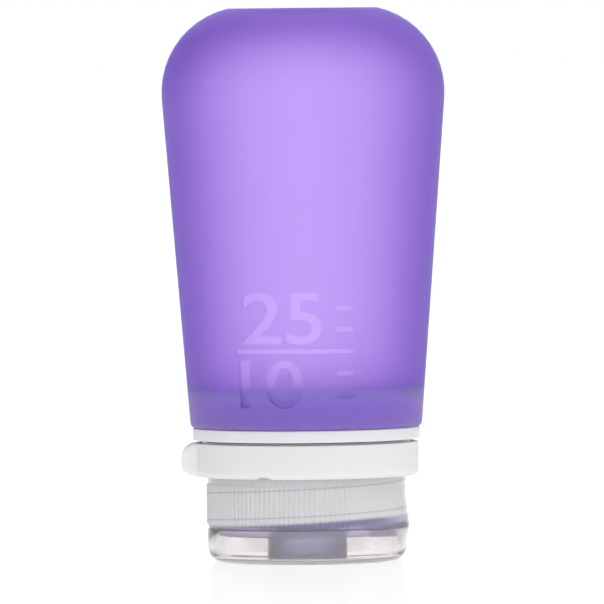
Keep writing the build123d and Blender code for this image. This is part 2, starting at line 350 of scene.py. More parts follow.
def close_edit():
    """Merges what meets, points the faces outwards, leaves edit mode and smooths all but the real edges."""
    bpy.ops.mesh.select_all(action="SELECT")
    bpy.ops.mesh.remove_doubles(threshold=DOUBLES)
    bpy.ops.mesh.delete_loose()
    bpy.ops.mesh.select_all(action="SELECT")
    bpy.ops.mesh.normals_make_consistent(inside=False)
    bpy.ops.object.mode_set(mode="OBJECT")
    bpy.ops.object.shade_smooth_by_angle(angle=SMOOTH_ANGLE)


def section(name, points, angle=0.0):
    """A closed outline of (radius, height) points in millimetres, standing at an angle round the axis."""
    deselect_all()
    bpy.ops.mesh.primitive_circle_add(vertices=len(points), radius=MM)
    piece = bpy.context.object
    piece.name = piece.data.name = name
    for vertex, (radius, height) in zip(piece.data.vertices, points):
        vertex.co = Vector((radius * math.cos(angle), radius * math.sin(angle), height)) * MM
    return piece


def turned(name, points, steps=LATHE_STEPS):
    """A full turn of an outline about the bottle's axis, as one closed shell."""
    piece = section(name, points)
    edit(piece)
    bpy.ops.mesh.spin(steps=steps, angle=math.tau, center=(0, 0, 0), axis=(0, 0, 1))
    close_edit()
    print(f"{name}: {len(piece.data.polygons)} faces")
    return piece


def combine(piece, operation, tool):
    """Cuts, joins or intersects a piece with a tool, which is used up."""
    modifier = piece.modifiers.new(operation.lower(), "BOOLEAN")
    modifier.operation = operation
    modifier.solver = "EXACT"
    modifier.object = tool
    deselect_all()
    bpy.context.view_layer.objects.active = piece
    piece.select_set(True)
    bpy.ops.object.modifier_apply(modifier=modifier.name)
    bpy.data.objects.remove(tool)
    print(f"{piece.name} after {operation.lower()}: {len(piece.data.polygons)} faces")


# %% [markdown]
# ## Finishes
#
# Silicone rubber is moulded in a blasted tool, so light goes through it but nothing can be seen through it.
# A rough transmission gives that, and an absorption inside the wall gives the colour: where the eye looks
# along the wall, at the sides and the closed end, light crosses more rubber and comes out deeper. A real
# hollow shell is needed for this, with both walls and their true thickness.

# %% Helpers for finishes
SILICONE_IOR = 1.41
POLYPROPYLENE_IOR = 1.49
POLISHED_ROUGHNESS = 0.12


def blank(name):
    """A new material with an empty node tree."""
    material = bpy.data.materials.new(name)
    material.use_nodes = True
    material.node_tree.nodes.clear()
    return material, material.node_tree


def skin(tree, grain, depth):
    """The normal of a moulded surface with a fine grain, both sizes in millimetres."""
    place = add(tree, "ShaderNodeTexCoord")
    specks = add(
        tree,
        "ShaderNodeTexNoise",
        {"Scale": 1 / (grain * MM), "Detail": 2.0, "Roughness": 0.6},
        {"Vector": place.outputs["Object"]},
    )
    bumps = add(
        tree,
        "ShaderNodeBump",
        {"Strength": 1.0, "Distance": depth * MM},
        {"Height": specks.outputs["Fac"]},
    )
    return bumps.outputs["Normal"]


def translucent(name, ior, roughness, clear, tint, scatter, absorbed, per_metre, grain, depth):
    """A wall that light crosses: its clear share, tint, depth of scattering and inner absorption."""
    material, tree = blank(name)
    polish = add(tree, "ShaderNodeAttribute", {"attribute_name": "polish"})
    dullness = add(
        tree,
        "ShaderNodeMapRange",
        {"To Min": roughness, "To Max": POLISHED_ROUGHNESS},
        {"Value": polish.outputs["Fac"]},
    )
    wall = add(
        tree,
        "ShaderNodeBsdfPrincipled",
        {
            "Base Color": linear(tint),
            "IOR": ior,
            "Transmission Weight": clear,
            "Subsurface Weight": 1.0,
            "Subsurface Radius": (1.0, 1.0, 1.0),
            "Subsurface Scale": scatter * MM,
        },
        {"Normal": skin(tree, grain, depth), "Roughness": dullness.outputs["Result"]},
    )
    inside = add(tree, "ShaderNodeVolumeAbsorption", {"Color": linear(absorbed), "Density": per_metre})
    add(
        tree,
        "ShaderNodeOutputMaterial",
        links={"Surface": wall.outputs["BSDF"], "Volume": inside.outputs["Volume"]},
    )
    return material


def opaque(name, ior, roughness, tint, scatter, grain, depth):
    """A white plastic or rubber that light only enters a little way, with a fine grain."""
    material, tree = blank(name)
    wall = add(
        tree,
        "ShaderNodeBsdfPrincipled",
        {
            "Base Color": linear(tint),
            "Roughness": roughness,
            "IOR": ior,
            "Subsurface Weight": 1.0,
            "Subsurface Radius": (1.0, 1.0, 1.0),
            "Subsurface Scale": scatter * MM,
        },
        {"Normal": skin(tree, grain, depth)},
    )
    add(tree, "ShaderNodeOutputMaterial", links={"Surface": wall.outputs["BSDF"]})
    return material


# %% Mix the silicones
# Silicone rubber from a blasted tool: a matte skin that hides what is behind it, with deep colour inside.
violet_silicone = translucent(
    "matte_violet_silicone",
    ior=SILICONE_IOR,
    roughness=0.50,
    clear=1.0,
    tint="FFFFFF",
    scatter=2.5,
    absorbed="BC59F9",
    per_metre=298,
    grain=0.6,
    depth=0.004,
)

# The valve is uncoloured silicone from a satin tool: light passes it, and what is behind it blurs.
natural_silicone = translucent(
    "natural_silicone",
    ior=SILICONE_IOR,
    roughness=0.35,
    clear=0.8,
    tint="F4F2F8",
    scatter=2.5,
    absorbed="E6E2F0",
    per_metre=80,
    grain=0.6,
    depth=0.002,
)

# The loop is filled white silicone: soft and dull, with light that creeps two millimetres under its skin.
white_silicone = opaque(
    "white_silicone",
    ior=SILICONE_IOR,
    roughness=0.62,
    tint="E7E7E8",
    scatter=2.0,
    grain=0.4,
    depth=0.003,
)
print("silicones:", violet_silicone.name, natural_silicone.name, white_silicone.name)

# %% [markdown]
# ## Milk in the walls
#
# Silicone and natural polypropylene are never quite clear, and a thick wall shows its own milkiness. A wall
# that absorbs light inside keeps one material all over, so that light meets the same stuff going in and
# coming out. One function therefore fades the tint and the clear share of that material with the height.
# The tint comes in ahead of the milk, or the fade would turn grey on its way.

# %% Let the milk show
TINT_LEAD = 0.5


def milky_zone(material, heights, tints, clears, lean=0.0):
    """Fades a wall's tint and its clear share between two heights, which may lean up towards +X."""
    tree = material.node_tree
    wall = next(n for n in tree.nodes if n.bl_idname == "ShaderNodeBsdfPrincipled")
    place = add(tree, "ShaderNodeTexCoord")
    level = add(
        tree,
        "ShaderNodeVectorMath",
        {"operation": "DOT_PRODUCT", 1: (-lean, 0, 1)},
        {0: place.outputs["Object"]},
    )
    milk = add(
        tree,
        "ShaderNodeMapRange",
        {"interpolation_type": "SMOOTHSTEP", "From Min": heights[0] * MM, "From Max": heights[1] * MM},
        {"Value": level.outputs["Value"]},
    )
    tinted = add(
        tree,
        "ShaderNodeMath",
        {"operation": "POWER", 1: TINT_LEAD},
        {0: milk.outputs["Result"]},
    )
    colour = add(
        tree,
        "ShaderNodeMix",
        {"data_type": "RGBA", 6: linear(tints[0]), 7: linear(tints[1])},
        {"Factor": tinted.outputs[0]},
    )
    share = add(
        tree,
        "ShaderNodeMapRange",
        {"To Min": clears[0], "To Max": clears[1]},
        {"Value": milk.outputs["Result"]},
    )
    tree.links.new(colour.outputs[2], wall.inputs["Base Color"])
    tree.links.new(share.outputs["Result"], wall.inputs["Transmission Weight"])


# The foot of the body is thick, and there the rubber's own milkiness shows instead of going nearly black.
milky_zone(violet_silicone, heights=(33.1, 28.8), tints=("FFFFFF", "AE8AEE"), clears=(1.0, 0.5))
print(f"milk in the foot of {violet_silicone.name}")

# %% [markdown]
# ## A thread seen through a wall
#
# The screw thread lies behind the cap's milky wall, and on the real bottle it shows as a thin slanted line.
# The ridge is modelled, but too little light reaches the slot behind the wall to draw it. So a painted
# shade darkens the wall's own colour a little along the same helix: one lead up for each turn.

# %% Draw the thread through the wall
THREAD_LEAD = 5.0
SHADE_AT_FRONT = 9.0
SHADE_HALF = 0.3


def thread_shade(material, shade):
    """Paints shade into a wall's colour along the thread behind it: one thin line that climbs by a lead
    each turn.
    """
    tree = material.node_tree
    wall = next(n for n in tree.nodes if n.bl_idname == "ShaderNodeBsdfPrincipled")
    plain = wall.inputs["Base Color"].links[0].from_socket
    quarter_turn = THREAD_LEAD / 4
    place = add(tree, "ShaderNodeTexCoord")
    parts = add(tree, "ShaderNodeSeparateXYZ", links={"Vector": place.outputs["Object"]})
    azimuth = add(
        tree,
        "ShaderNodeMath",
        {"operation": "ARCTAN2"},
        {0: parts.outputs["Y"], 1: parts.outputs["X"]},
    )
    climbed = add(
        tree,
        "ShaderNodeMath",
        {"operation": "MULTIPLY_ADD", 1: -THREAD_LEAD * MM / math.tau},
        {0: azimuth.outputs[0], 2: parts.outputs["Z"]},
    )
    above = add(
        tree,
        "ShaderNodeMath",
        {"operation": "SUBTRACT", 1: (SHADE_AT_FRONT + quarter_turn) * MM},
        {0: climbed.outputs[0]},
    )
    distance = add(
        tree,
        "ShaderNodeMath",
        {"operation": "PINGPONG", 1: THREAD_LEAD / 2 * MM},
        {0: above.outputs[0]},
    )
    line = add(
        tree,
        "ShaderNodeMapRange",
        {"interpolation_type": "SMOOTHSTEP", "From Min": SHADE_HALF * MM, "From Max": 0.0},
        {"Value": distance.outputs[0]},
    )
    # Painted shade: the wall's colour is multiplied darker along the line.
    colour = add(
        tree,
        "ShaderNodeMix",
        {"data_type": "RGBA", "blend_type": "MULTIPLY", 7: linear(shade)},
        {"Factor": line.outputs["Result"], 6: plain},
    )
    tree.links.new(colour.outputs[2], wall.inputs["Base Color"])


# %% [markdown]
# ## The plastics
#
# Cap, lid and strap are one family of plastic, polypropylene, and differ in how it is made: natural and
# milky in the cap, clarified in the lid, thin in the strap, and white with pigment in the collar and the
# valve's retainer. So they share one index of refraction, and differ in tint, clearness, roughness and
# grain.

# %% Mix the plastics
# Natural polypropylene from a tool with a fine satin: milky by itself, yet it shows what is close behind.
satin_polypropylene = translucent(
    "satin_natural_polypropylene",
    ior=POLYPROPYLENE_IOR,
    roughness=0.14,
    clear=0.80,
    tint="F4F2F8",
    scatter=0.5,
    absorbed="E4E2F0",
    per_metre=60,
    grain=0.5,
    depth=0.003,
)
# The skirt is milky where it carries the thread, and clearer below it, down to the deck.
milky_zone(
    satin_polypropylene,
    heights=(7.4, 8.2),
    tints=("DCD8F2", "FCFBFE"),
    clears=(0.82, 0.4),
    lean=0.05,
)
# Painted shade: a thin darker line in the skirt's colour where the thread lies behind it.
thread_shade(satin_polypropylene, "DCDAE4")

# Clarified polypropylene from a polished tool: almost glass, with slow waves and a faint lilac where thick.
clear_polypropylene = translucent(
    "clarified_polypropylene",
    ior=POLYPROPYLENE_IOR,
    roughness=0.06,
    clear=0.94,
    tint="F7F4F4",
    scatter=1.0,
    absorbed="E0DEEA",
    per_metre=60,
    grain=3.0,
    depth=0.004,
)

# The strap is thin enough to bend a thousand times, so its natural polypropylene looks nearly clear.
thin_polypropylene = translucent(
    "thin_natural_polypropylene",
    ior=POLYPROPYLENE_IOR,
    roughness=0.2,
    clear=0.9,
    tint="F4F2F8",
    scatter=1.0,
    absorbed="E0DEEA",
    per_metre=60,
    grain=1.0,
    depth=0.002,
)

# White polypropylene with titanium pigment: opaque, with a satin sheen.
white_polypropylene = opaque(
    "white_polypropylene",
    ior=POLYPROPYLENE_IOR,
    roughness=0.36,
    tint="E2E2E6",
    scatter=1.2,
    grain=0.5,
    depth=0.002,
)
plastics = [satin_polypropylene, clear_polypropylene, thin_polypropylene, white_polypropylene]
print("plastics:", *[plastic.name for plastic in plastics])

# %% [markdown]
# ## The silicone body
#
# The body is a drafted bag: it widens from the collar to a big round shoulder and ends in a small flat
# disc, on which the bottle can stand as well. A neck with a flat lip hangs below it, and the lip seals on
# the cap. Outer and inner walls are one closed section, turned on the lathe.

# %% Turn the body
body_low, body_high = reach("bottle_body")
collar_high = reach("threaded_collar")[1]
body_radius = body_high.x
body_top = body_high.z
body_foot = collar_high.z
FOOT_OVERHANG = 0.35
WALL = 2.0
END_RADIUS = 13.8
SHOULDER_RADIUS = 15.9
FOOT_EDGE = 1.0
INNER_FOOT = 5.0
BORE_EDGE = 0.3
NECK_RADIUS = 14.8
NECK_WALL = 1.4
LIP_RADIUS = 15.5
LIP_THICKNESS = 1.1
RING_PITCH = 3.0

foot_radius = collar_high.x + FOOT_OVERHANG
shoulder_x = body_radius - SHOULDER_RADIUS
shoulder_z = body_top - math.sqrt(SHOULDER_RADIUS**2 - (END_RADIUS - shoulder_x) ** 2)
foot_distance = math.hypot(body_foot - shoulder_z, foot_radius - shoulder_x)
foot_angle = math.atan2(body_foot - shoulder_z, foot_radius - shoulder_x)
draft = foot_angle + math.acos(SHOULDER_RADIUS / foot_distance)
inner_shoulder = SHOULDER_RADIUS - WALL
inner_top = body_top - WALL
body_floor = body_foot + WALL
neck_bore = NECK_RADIUS - NECK_WALL


def side_radius(height, depth=0.0):
    """The radius of the drafted side at a height, or of the surface that lies a depth inside it."""
    slope = math.tan(draft + math.pi / 2)
    touch_x = shoulder_x + (SHOULDER_RADIUS - depth) * math.cos(draft)
    touch_z = shoulder_z + (SHOULDER_RADIUS - depth) * math.sin(draft)
    return touch_x + (height - touch_z) / slope


def body_outline():
    """The section of the body: foot, side, shoulder and end outside, then back down inside to the lip."""
    rings = int((shoulder_z - body_foot) / RING_PITCH)
    heights = [body_foot + RING_PITCH * i for i in range(1, rings)]
    outer_end = math.asin((body_top - shoulder_z) / SHOULDER_RADIUS)
    inner_end = math.asin((inner_top - shoulder_z) / inner_shoulder)
    corners = [(NECK_RADIUS, body_foot), (foot_radius, body_foot, FOOT_EDGE)]
    corners += [(side_radius(h), h) for h in heights]
    corners += arc((shoulder_x, shoulder_z), SHOULDER_RADIUS, draft, outer_end)
    corners += [(0, body_top), (0, inner_top)]
    corners += arc((shoulder_x, shoulder_z), inner_shoulder, inner_end, draft)
    corners += [(side_radius(h, WALL), h) for h in reversed(heights) if h > body_floor + INNER_FOOT]
    lip_bottom = body_low.z
    corners += [
        (side_radius(body_floor, WALL), body_floor, INNER_FOOT),
        (neck_bore, body_floor, BORE_EDGE),
        (neck_bore, lip_bottom),
        (LIP_RADIUS, lip_bottom),
        (LIP_RADIUS, lip_bottom + LIP_THICKNESS),
        (NECK_RADIUS, lip_bottom + LIP_THICKNESS),
    ]
    return rounded(corners)


body = turned("silicone_body", body_outline())
body.data.materials.append(violet_silicone)
print(f"drafted by {math.degrees(draft):.2f} degrees")

# %% [markdown]
# ## Level marks
#
# A clear or frosted bottle often carries a level gauge, sunk into the mould so that it never wears off.
# Ours marks how many millilitres the standing bottle holds: a line at 25, ticks from 15 to 35, and the
# numbers 10 and 25. The digits and lines are blocks cut through a thin band that follows the wall, and what
# is left of them is cut from the body, so every mark is equally deep. Its floor is polished, as a smooth
# insert in a blasted mould leaves it.

# %% Cut the level marks
MARK_DEPTH = 0.45
MARK_CLEAR = 1.0
LINE_WEIGHT = 0.85
BAND_LOW = 25.9
BAND_HIGH = 56.0
BLOCK_FRONT = 30.0
DIGIT_HEIGHT_SHARE = 0.70
DIGIT_WEIGHT = 0.012
FLOOR_NEAREST = 0.8
FLOOR_FARTHEST = 1.5
long_line = {"height": 39.4, "left": -12.6, "right": 8.9}
numbers = [
    {"text": "25", "left": -11.6, "bottom": 40.9, "tall": 9.4, "wide": 1.17},
    {"text": "10", "left": -12.0, "bottom": 29.2, "tall": 8.6, "wide": 1.17},
]
tick_levels = {15: 31.2, 20: 35.3, 30: 43.4, 35: 47.3}
SHINE_LOW = 30.0
SHINE_HIGH = 37.0
TICK_LEFT = 5.7
TICK_RIGHT = 8.9


def block(left, right, low, high):
    """A block that runs from the axis out through the front wall."""
    deselect_all()
    bpy.ops.mesh.primitive_cube_add(size=1)
    piece = bpy.context.object
    for vertex in piece.data.vertices:
        x = right if vertex.co.x > 0 else left
        y = 0 if vertex.co.y > 0 else -BLOCK_FRONT
        z = high if vertex.co.z > 0 else low
        vertex.co = Vector((x, y, z)) * MM
    return piece


def digits(number):
    """A number of the gauge as a thick block that faces the front."""
    deselect_all()
    bpy.ops.object.text_add()
    piece = bpy.context.object
    piece.data.body = number["text"]
    piece.data.size = number["tall"] / DIGIT_HEIGHT_SHARE * MM
    piece.data.offset = DIGIT_WEIGHT * piece.data.size
    piece.data.extrude = BLOCK_FRONT / 2 * MM
    bpy.ops.object.convert(target="MESH")
    piece = bpy.context.object
    first = min(v.co.x for v in piece.data.vertices)
    for vertex in piece.data.vertices:
        across = (vertex.co.x - first) * number["wide"] + number["left"] * MM
        vertex.co = (across, -vertex.co.z - BLOCK_FRONT / 2 * MM, vertex.co.y + number["bottom"] * MM)
    edit(piece)
    close_edit()
    return piece


def mark_band():
    """The thin ring of wall that a mark may take away, and the air before it."""
    corners = [
        (side_radius(BAND_LOW, MARK_DEPTH), BAND_LOW),
        (side_radius(BAND_LOW) + MARK_CLEAR, BAND_LOW),
        (side_radius(BAND_HIGH) + MARK_CLEAR, BAND_HIGH),
        (side_radius(BAND_HIGH, MARK_DEPTH), BAND_HIGH),
    ]
    return turned("mark_band", corners)


gauge = [digits(n) for n in numbers]
half = LINE_WEIGHT / 2
middle = long_line["height"]
gauge.append(block(long_line["left"], long_line["right"], middle - half, middle + half))
for height in tick_levels.values():
    gauge.append(block(TICK_LEFT, TICK_RIGHT, height - half, height + half))

band = mark_band()
deselect_all()
for piece in gauge:
    piece.select_set(True)
bpy.context.view_layer.objects.active = gauge[0]
bpy.ops.object.join()
marks = bpy.context.object
combine(marks, "INTERSECT", band)
combine(body, "DIFFERENCE", marks)


def is_mark_floor(face):
    """True for the faces at the bottom of the sunk marks."""
    height = face.center.z / MM
    out = math.hypot(face.center.x, face.center.y) / MM
    if not BAND_LOW < height < BAND_HIGH:
        return False
    deepest = side_radius(height, MARK_DEPTH * FLOOR_FARTHEST)
    return deepest < out < side_radius(height, MARK_DEPTH * FLOOR_NEAREST)


def shine(face):
    """How polished a face is: the marks' floors, less and less so down in the milky foot."""
    share = (face.center.z / MM - SHINE_LOW) / (SHINE_HIGH - SHINE_LOW)
    return min(1.0, max(0.0, share)) if is_mark_floor(face) else 0.0


polish = body.data.attributes.new("polish", "FLOAT", "FACE")
floors = [shine(face) for face in body.data.polygons]
polish.data.foreach_set("value", floors)
print(f"level marks: {sum(value > 0 for value in floors)} polished faces")
bpy.ops.object.shade_smooth_by_angle(angle=SMOOTH_ANGLE)
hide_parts("bottle_body")
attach(body, "bottle")

# %% [markdown]
# ## The collar
#
# The collar is rigid and white. Its flange carries the foot of the silicone body, and its sleeve stiffens
# the neck and carries the thread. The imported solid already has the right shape, so it keeps its mesh and
# gets a finish. Only the thread is added: one ridge, wound by a Screw modifier from a small section, about
# two and a quarter turns.

# %% Finish the collar and wind its thread
SLEEVE_RADIUS = 16.1
THREAD_ROOT = 0.15
THREAD_HEIGHT = 0.75
THREAD_FOOT = 1.5
THREAD_CREST = 0.5
COLLAR_THREAD_TURNS = 2.25
THREAD_START = 9.4
THREAD_ANGLE = math.radians(-150)
THREAD_STEPS = 96


def thread(name, root, crest, start, angle, turns):
    """A helical ridge from a root radius to a crest radius, started at a height and an angle."""
    base = THREAD_FOOT / 2
    tip = THREAD_CREST / 2
    piece = section(
        name,
        [(root, start - base), (crest, start - tip), (crest, start + tip), (root, start + base)],
        angle,
    )
    winding = piece.modifiers.new("winding", "SCREW")
    winding.axis = "Z"
    winding.angle = turns * math.tau
    winding.screw_offset = turns * THREAD_LEAD * MM
    winding.steps = winding.render_steps = int(turns * THREAD_STEPS)
    bpy.ops.object.modifier_apply(modifier="winding")
    edit(piece)
    bpy.ops.mesh.fill_holes(sides=len(piece.data.vertices))
    close_edit()
    return piece


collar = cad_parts["threaded_collar"]
collar.data.materials.clear()
collar.data.materials.append(white_polypropylene)
collar_thread = thread(
    "collar_thread",
    SLEEVE_RADIUS - THREAD_ROOT,
    SLEEVE_RADIUS + THREAD_HEIGHT,
    THREAD_START,
    THREAD_ANGLE,
    COLLAR_THREAD_TURNS,
)
collar_thread.data.materials.append(white_polypropylene)
print(f"collar thread: {len(collar_thread.data.polygons)} faces")
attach(collar_thread, "bottle")

# %% [markdown]
# ## The screw cap
#
# The cap is moulded in frosted polypropylene: a skirt with a ribbed grip, a raised seat for the loop, a
# deck with a spout, and a short spigot that centres the lid. All of it is one section. The ribs are drawn
# by moving some of the skirt's vertices outwards, since the lathe has already divided that circle finely.

# %% Turn the cap
cap_low, cap_high = reach("cap")
lid_high = reach("lid")[1]
PARTING_GAP = 0.1
CAP_RADIUS = 18.3
CAP_BORE = 17.3
SEAT_RADIUS = 19.25
SEAT_HEIGHT = 6.25
SEAT_EDGE = 0.4
DECK_SINK = 0.3
DECK_THICKNESS = 1.0
SPIGOT_RADIUS = 17.0
SPIGOT_WALL = 1.1
SPIGOT_DROP = 1.15
SPOUT_BORE = 6.0
SPOUT_RADIUS = 7.4
SPOUT_EDGE = 0.3
BOSS_BORE = 8.15
BOSS_RADIUS = 9.15
BOSS_TOP = 9.85
BEAD_HEIGHT = 0.5
BEAD_DEPTH = 0.3
MOULD_EDGE = 0.15
GRIP_FOOT = 0.5
GRIP_HEAD = 8.2
GRIP_BEVEL = 0.3
CAP_STEPS = 720

cap_bottom = lid_high.z + PARTING_GAP
cap_top = cap_high.z
spout_end = cap_low.z
deck_bottom = cap_bottom - DECK_SINK
deck_top = deck_bottom + DECK_THICKNESS
grip_low = cap_bottom + GRIP_FOOT
grip_high = cap_bottom + GRIP_HEAD

cap_corners = [
    (SPIGOT_RADIUS, cap_bottom),
    (CAP_RADIUS, cap_bottom, MOULD_EDGE),
    (CAP_RADIUS, grip_low),
    (CAP_RADIUS, grip_low + GRIP_BEVEL),
    (CAP_RADIUS, grip_high - GRIP_BEVEL),
    (CAP_RADIUS, grip_high),
    (CAP_RADIUS, cap_top - SEAT_HEIGHT),
    (SEAT_RADIUS, cap_top - SEAT_HEIGHT, SEAT_EDGE),
    (SEAT_RADIUS, cap_top, MOULD_EDGE),
    (CAP_BORE, cap_top, MOULD_EDGE),
    (CAP_BORE, deck_top),
    (BOSS_RADIUS, deck_top, MOULD_EDGE),
    (BOSS_RADIUS, BOSS_TOP, MOULD_EDGE),
    (BOSS_BORE, BOSS_TOP),
    (BOSS_BORE - BEAD_DEPTH, BOSS_TOP - BEAD_HEIGHT / 2),
    (BOSS_BORE, BOSS_TOP - BEAD_HEIGHT),
    (BOSS_BORE, deck_top),
    (SPOUT_BORE, deck_top),
    (SPOUT_BORE, spout_end, MOULD_EDGE),
    (SPOUT_RADIUS, spout_end, SPOUT_EDGE),
    (SPOUT_RADIUS, deck_bottom, MOULD_EDGE),
    (SPIGOT_RADIUS - SPIGOT_WALL, deck_bottom, MOULD_EDGE),
    (SPIGOT_RADIUS - SPIGOT_WALL, deck_bottom - SPIGOT_DROP, MOULD_EDGE),
    (SPIGOT_RADIUS, deck_bottom - SPIGOT_DROP, MOULD_EDGE),
]
cap = turned("ribbed_cap", rounded(cap_corners), steps=CAP_STEPS)

# %% Raise the grip ribs
THUMB_DIRECTION = math.radians(-22.0)
GRIP_START = math.radians(42.7)
GRIP_END = math.radians(162.7)
GRIP_HEIGHT = 0.3
RIB_PITCH = math.radians(3.0)
RIB_BREADTH = 1.5
ON_WALL = 0.01


def rib_rise(angle):
    """How far the grip stands out at an angle: rounded ribs inside two zones, nothing between."""
    from_thumb = abs((angle - THUMB_DIRECTION + math.pi) % math.tau - math.pi)
    if not GRIP_START < from_thumb < GRIP_END:
        return 0.0
    valley = abs(math.cos(math.pi * (from_thumb - GRIP_START) / RIB_PITCH))
    return GRIP_HEIGHT * (1 - valley**RIB_BREADTH)


raised = 0
for vertex in cap.data.vertices:
    out = math.hypot(vertex.co.x, vertex.co.y) / MM
    height = vertex.co.z / MM
    on_skirt = abs(out - CAP_RADIUS) < ON_WALL
    if on_skirt and grip_low + GRIP_BEVEL / 2 < height < grip_high - GRIP_BEVEL / 2:
        share = 1 + rib_rise(math.atan2(vertex.co.y, vertex.co.x)) / CAP_RADIUS
        vertex.co.x *= share
        vertex.co.y *= share
        raised += 1
print(f"ribbed grip: {raised} vertices moved")

# %% [markdown]
# ## The thumb rest
#
# Opposite the hinge, lid and cap bulge into a small thumb rest. Each half is part of a cone that stands off
# the axis, so it dies away into the round wall along a curve. We hollow such a cone until only the sliver
# outside the wall is left, and join it to the piece.

# %% Add the thumb rest
THUMB_OFFSET = 4.4
THUMB_REACH = 19.25
CAP_THUMB_SLOPE = 0.115
THUMB_ROOT = 0.5
thumb_circle = THUMB_REACH - THUMB_OFFSET


def thumb_rest(wall_radius, height, slope, upwards):
    """The sliver of an off-centre cone outside a wall, with its wide end at a height."""
    length = (THUMB_REACH - wall_radius + THUMB_ROOT) / slope
    narrow = thumb_circle - slope * length
    centre = height + length / 2 if upwards else height - length / 2
    deselect_all()
    bpy.ops.mesh.primitive_cone_add(
        vertices=LATHE_STEPS,
        radius1=(thumb_circle if upwards else narrow) * MM,
        radius2=(narrow if upwards else thumb_circle) * MM,
        depth=length * MM,
    )
    piece = bpy.context.object
    shift = Vector(
        (THUMB_OFFSET * math.cos(THUMB_DIRECTION), THUMB_OFFSET * math.sin(THUMB_DIRECTION), centre)
    )
    for vertex in piece.data.vertices:
        vertex.co += shift * MM
    inner = wall_radius - THUMB_ROOT
    low, high = centre - length, centre + length
    combine(piece, "DIFFERENCE", turned("thumb_core", [(0, low), (inner, low), (inner, high), (0, high)]))
    return piece


combine(cap, "UNION", thumb_rest(CAP_RADIUS, cap_bottom, CAP_THUMB_SLOPE, True))

# %% [markdown]
# ## The cap's own thread
#
# The cap carries the same ridge on the inside, half a lead higher, so that each lies in the groove between
# two turns of the other. It is joined to the cap, because faces left inside a clear wall would show.

# %% Wind the thread inside the cap
CAP_THREAD_TURNS = 1.9

cap_thread = thread(
    "cap_thread",
    CAP_BORE + THREAD_ROOT,
    CAP_BORE - THREAD_HEIGHT,
    THREAD_START + THREAD_LEAD / 2,
    THREAD_ANGLE,
    CAP_THREAD_TURNS,
)
combine(cap, "UNION", cap_thread)
cap.data.materials.append(satin_polypropylene)
bpy.ops.object.shade_smooth_by_angle(angle=SMOOTH_ANGLE)
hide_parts("cap")
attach(cap, "screw_cap")

# %% [markdown]
# ## The valve and its retainer
#
# Inside the spout sits a soft valve: a little cup whose domed floor is cut by two crossing slits. It opens
# when the bottle is squeezed and closes again by itself. A stepped ring, which already has its shape, holds
# it down.

# %% Make the valve
valve_low, valve_high = reach("valve")
VALVE_FLANGE = 7.1
VALVE_FLANGE_THICKNESS = 0.9
VALVE_RADIUS = 5.85
VALVE_WALL = 0.8
MEMBRANE = 0.5
MEMBRANE_RISE = 0.9
SLIT_LENGTH = 6.4
SLIT_WIDTH = 0.16
SLIT_SLANTS = (math.radians(45), math.radians(135))
VALVE_STEPS = 96

valve_bore = VALVE_RADIUS - VALVE_WALL
dome_radius = (valve_bore**2 + MEMBRANE_RISE**2) / (2 * MEMBRANE_RISE)
dome_half = math.asin(valve_bore / dome_radius)
dome_centre = (0, valve_low.z + MEMBRANE_RISE - dome_radius)
dome_top = math.pi / 2
slit_half_height = MEMBRANE + MEMBRANE_RISE

valve_outline = arc((0, dome_centre[1] + MEMBRANE), dome_radius, dome_top, dome_top - dome_half)
valve_outline += [
    (valve_bore, valve_high.z),
    (VALVE_FLANGE, valve_high.z),
    (VALVE_FLANGE, valve_high.z - VALVE_FLANGE_THICKNESS),
    (VALVE_RADIUS, valve_high.z - VALVE_FLANGE_THICKNESS),
    (VALVE_RADIUS, valve_low.z),
]
valve_outline += arc(dome_centre, dome_radius, dome_top - dome_half, dome_top)
valve = turned("slit_valve", valve_outline, steps=VALVE_STEPS)
for slant in SLIT_SLANTS:
    deselect_all()
    bpy.ops.mesh.primitive_cube_add(size=1)
    slit = bpy.context.object
    for vertex in slit.data.vertices:
        along = vertex.co.x * SLIT_LENGTH
        across = vertex.co.y * SLIT_WIDTH
        vertex.co = Vector(
            (
                along * math.cos(slant) - across * math.sin(slant),
                along * math.sin(slant) + across * math.cos(slant),
                valve_low.z + vertex.co.z * 2 * slit_half_height,
            )
        ) * MM
    combine(valve, "DIFFERENCE", slit)
edit(valve)
close_edit()
valve.data.materials.append(natural_silicone)
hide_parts("valve")
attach(valve, "screw_cap")

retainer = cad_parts["valve_retainer"]
retainer.data.materials.clear()
retainer.data.materials.append(white_polypropylene)

# %% [markdown]
# ## The flip lid
#
# The lid is a clear cup. A plug ring on its floor enters the spout and seals it. Its outer foot is well
# rounded, and the wall leans out a little towards the rim, so that it leaves the mould.

# %% Turn the lid
LID_RIM_RADIUS = 18.5
LID_THUMB_SLOPE = 0.28
LID_BASE_DRAFT = 0.25
LID_WALL = 1.3
LID_FLOOR = 1.1
LID_EDGE = 2.6
LID_INNER_EDGE = 0.6
PLUG_FIT = 0.35
PLUG_WALL = 0.8
PLUG_ENTRY = 0.8

lid_top = lid_high.z
lid_bore = LID_RIM_RADIUS - LID_WALL
plug_radius = SPOUT_BORE - PLUG_FIT
plug_bore = plug_radius - PLUG_WALL
plug_top = spout_end + PLUG_ENTRY
lid_corners = [
    (0, 0),
    (LID_RIM_RADIUS - LID_BASE_DRAFT, 0, LID_EDGE),
    (LID_RIM_RADIUS, lid_top, MOULD_EDGE),
    (lid_bore, lid_top, MOULD_EDGE),
    (lid_bore, LID_FLOOR, LID_INNER_EDGE),
    (plug_radius, LID_FLOOR, MOULD_EDGE),
    (plug_radius, plug_top, MOULD_EDGE),
    (plug_bore, plug_top, MOULD_EDGE),
    (plug_bore, LID_FLOOR, MOULD_EDGE),
    (0, LID_FLOOR),
]
lid = turned("flip_lid_cup", rounded(lid_corners))
combine(lid, "UNION", thumb_rest(LID_RIM_RADIUS, lid_top, LID_THUMB_SLOPE, False))
lid.data.materials.append(clear_polypropylene)
bpy.ops.object.shade_smooth_by_angle(angle=SMOOTH_ANGLE)
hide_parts("lid")
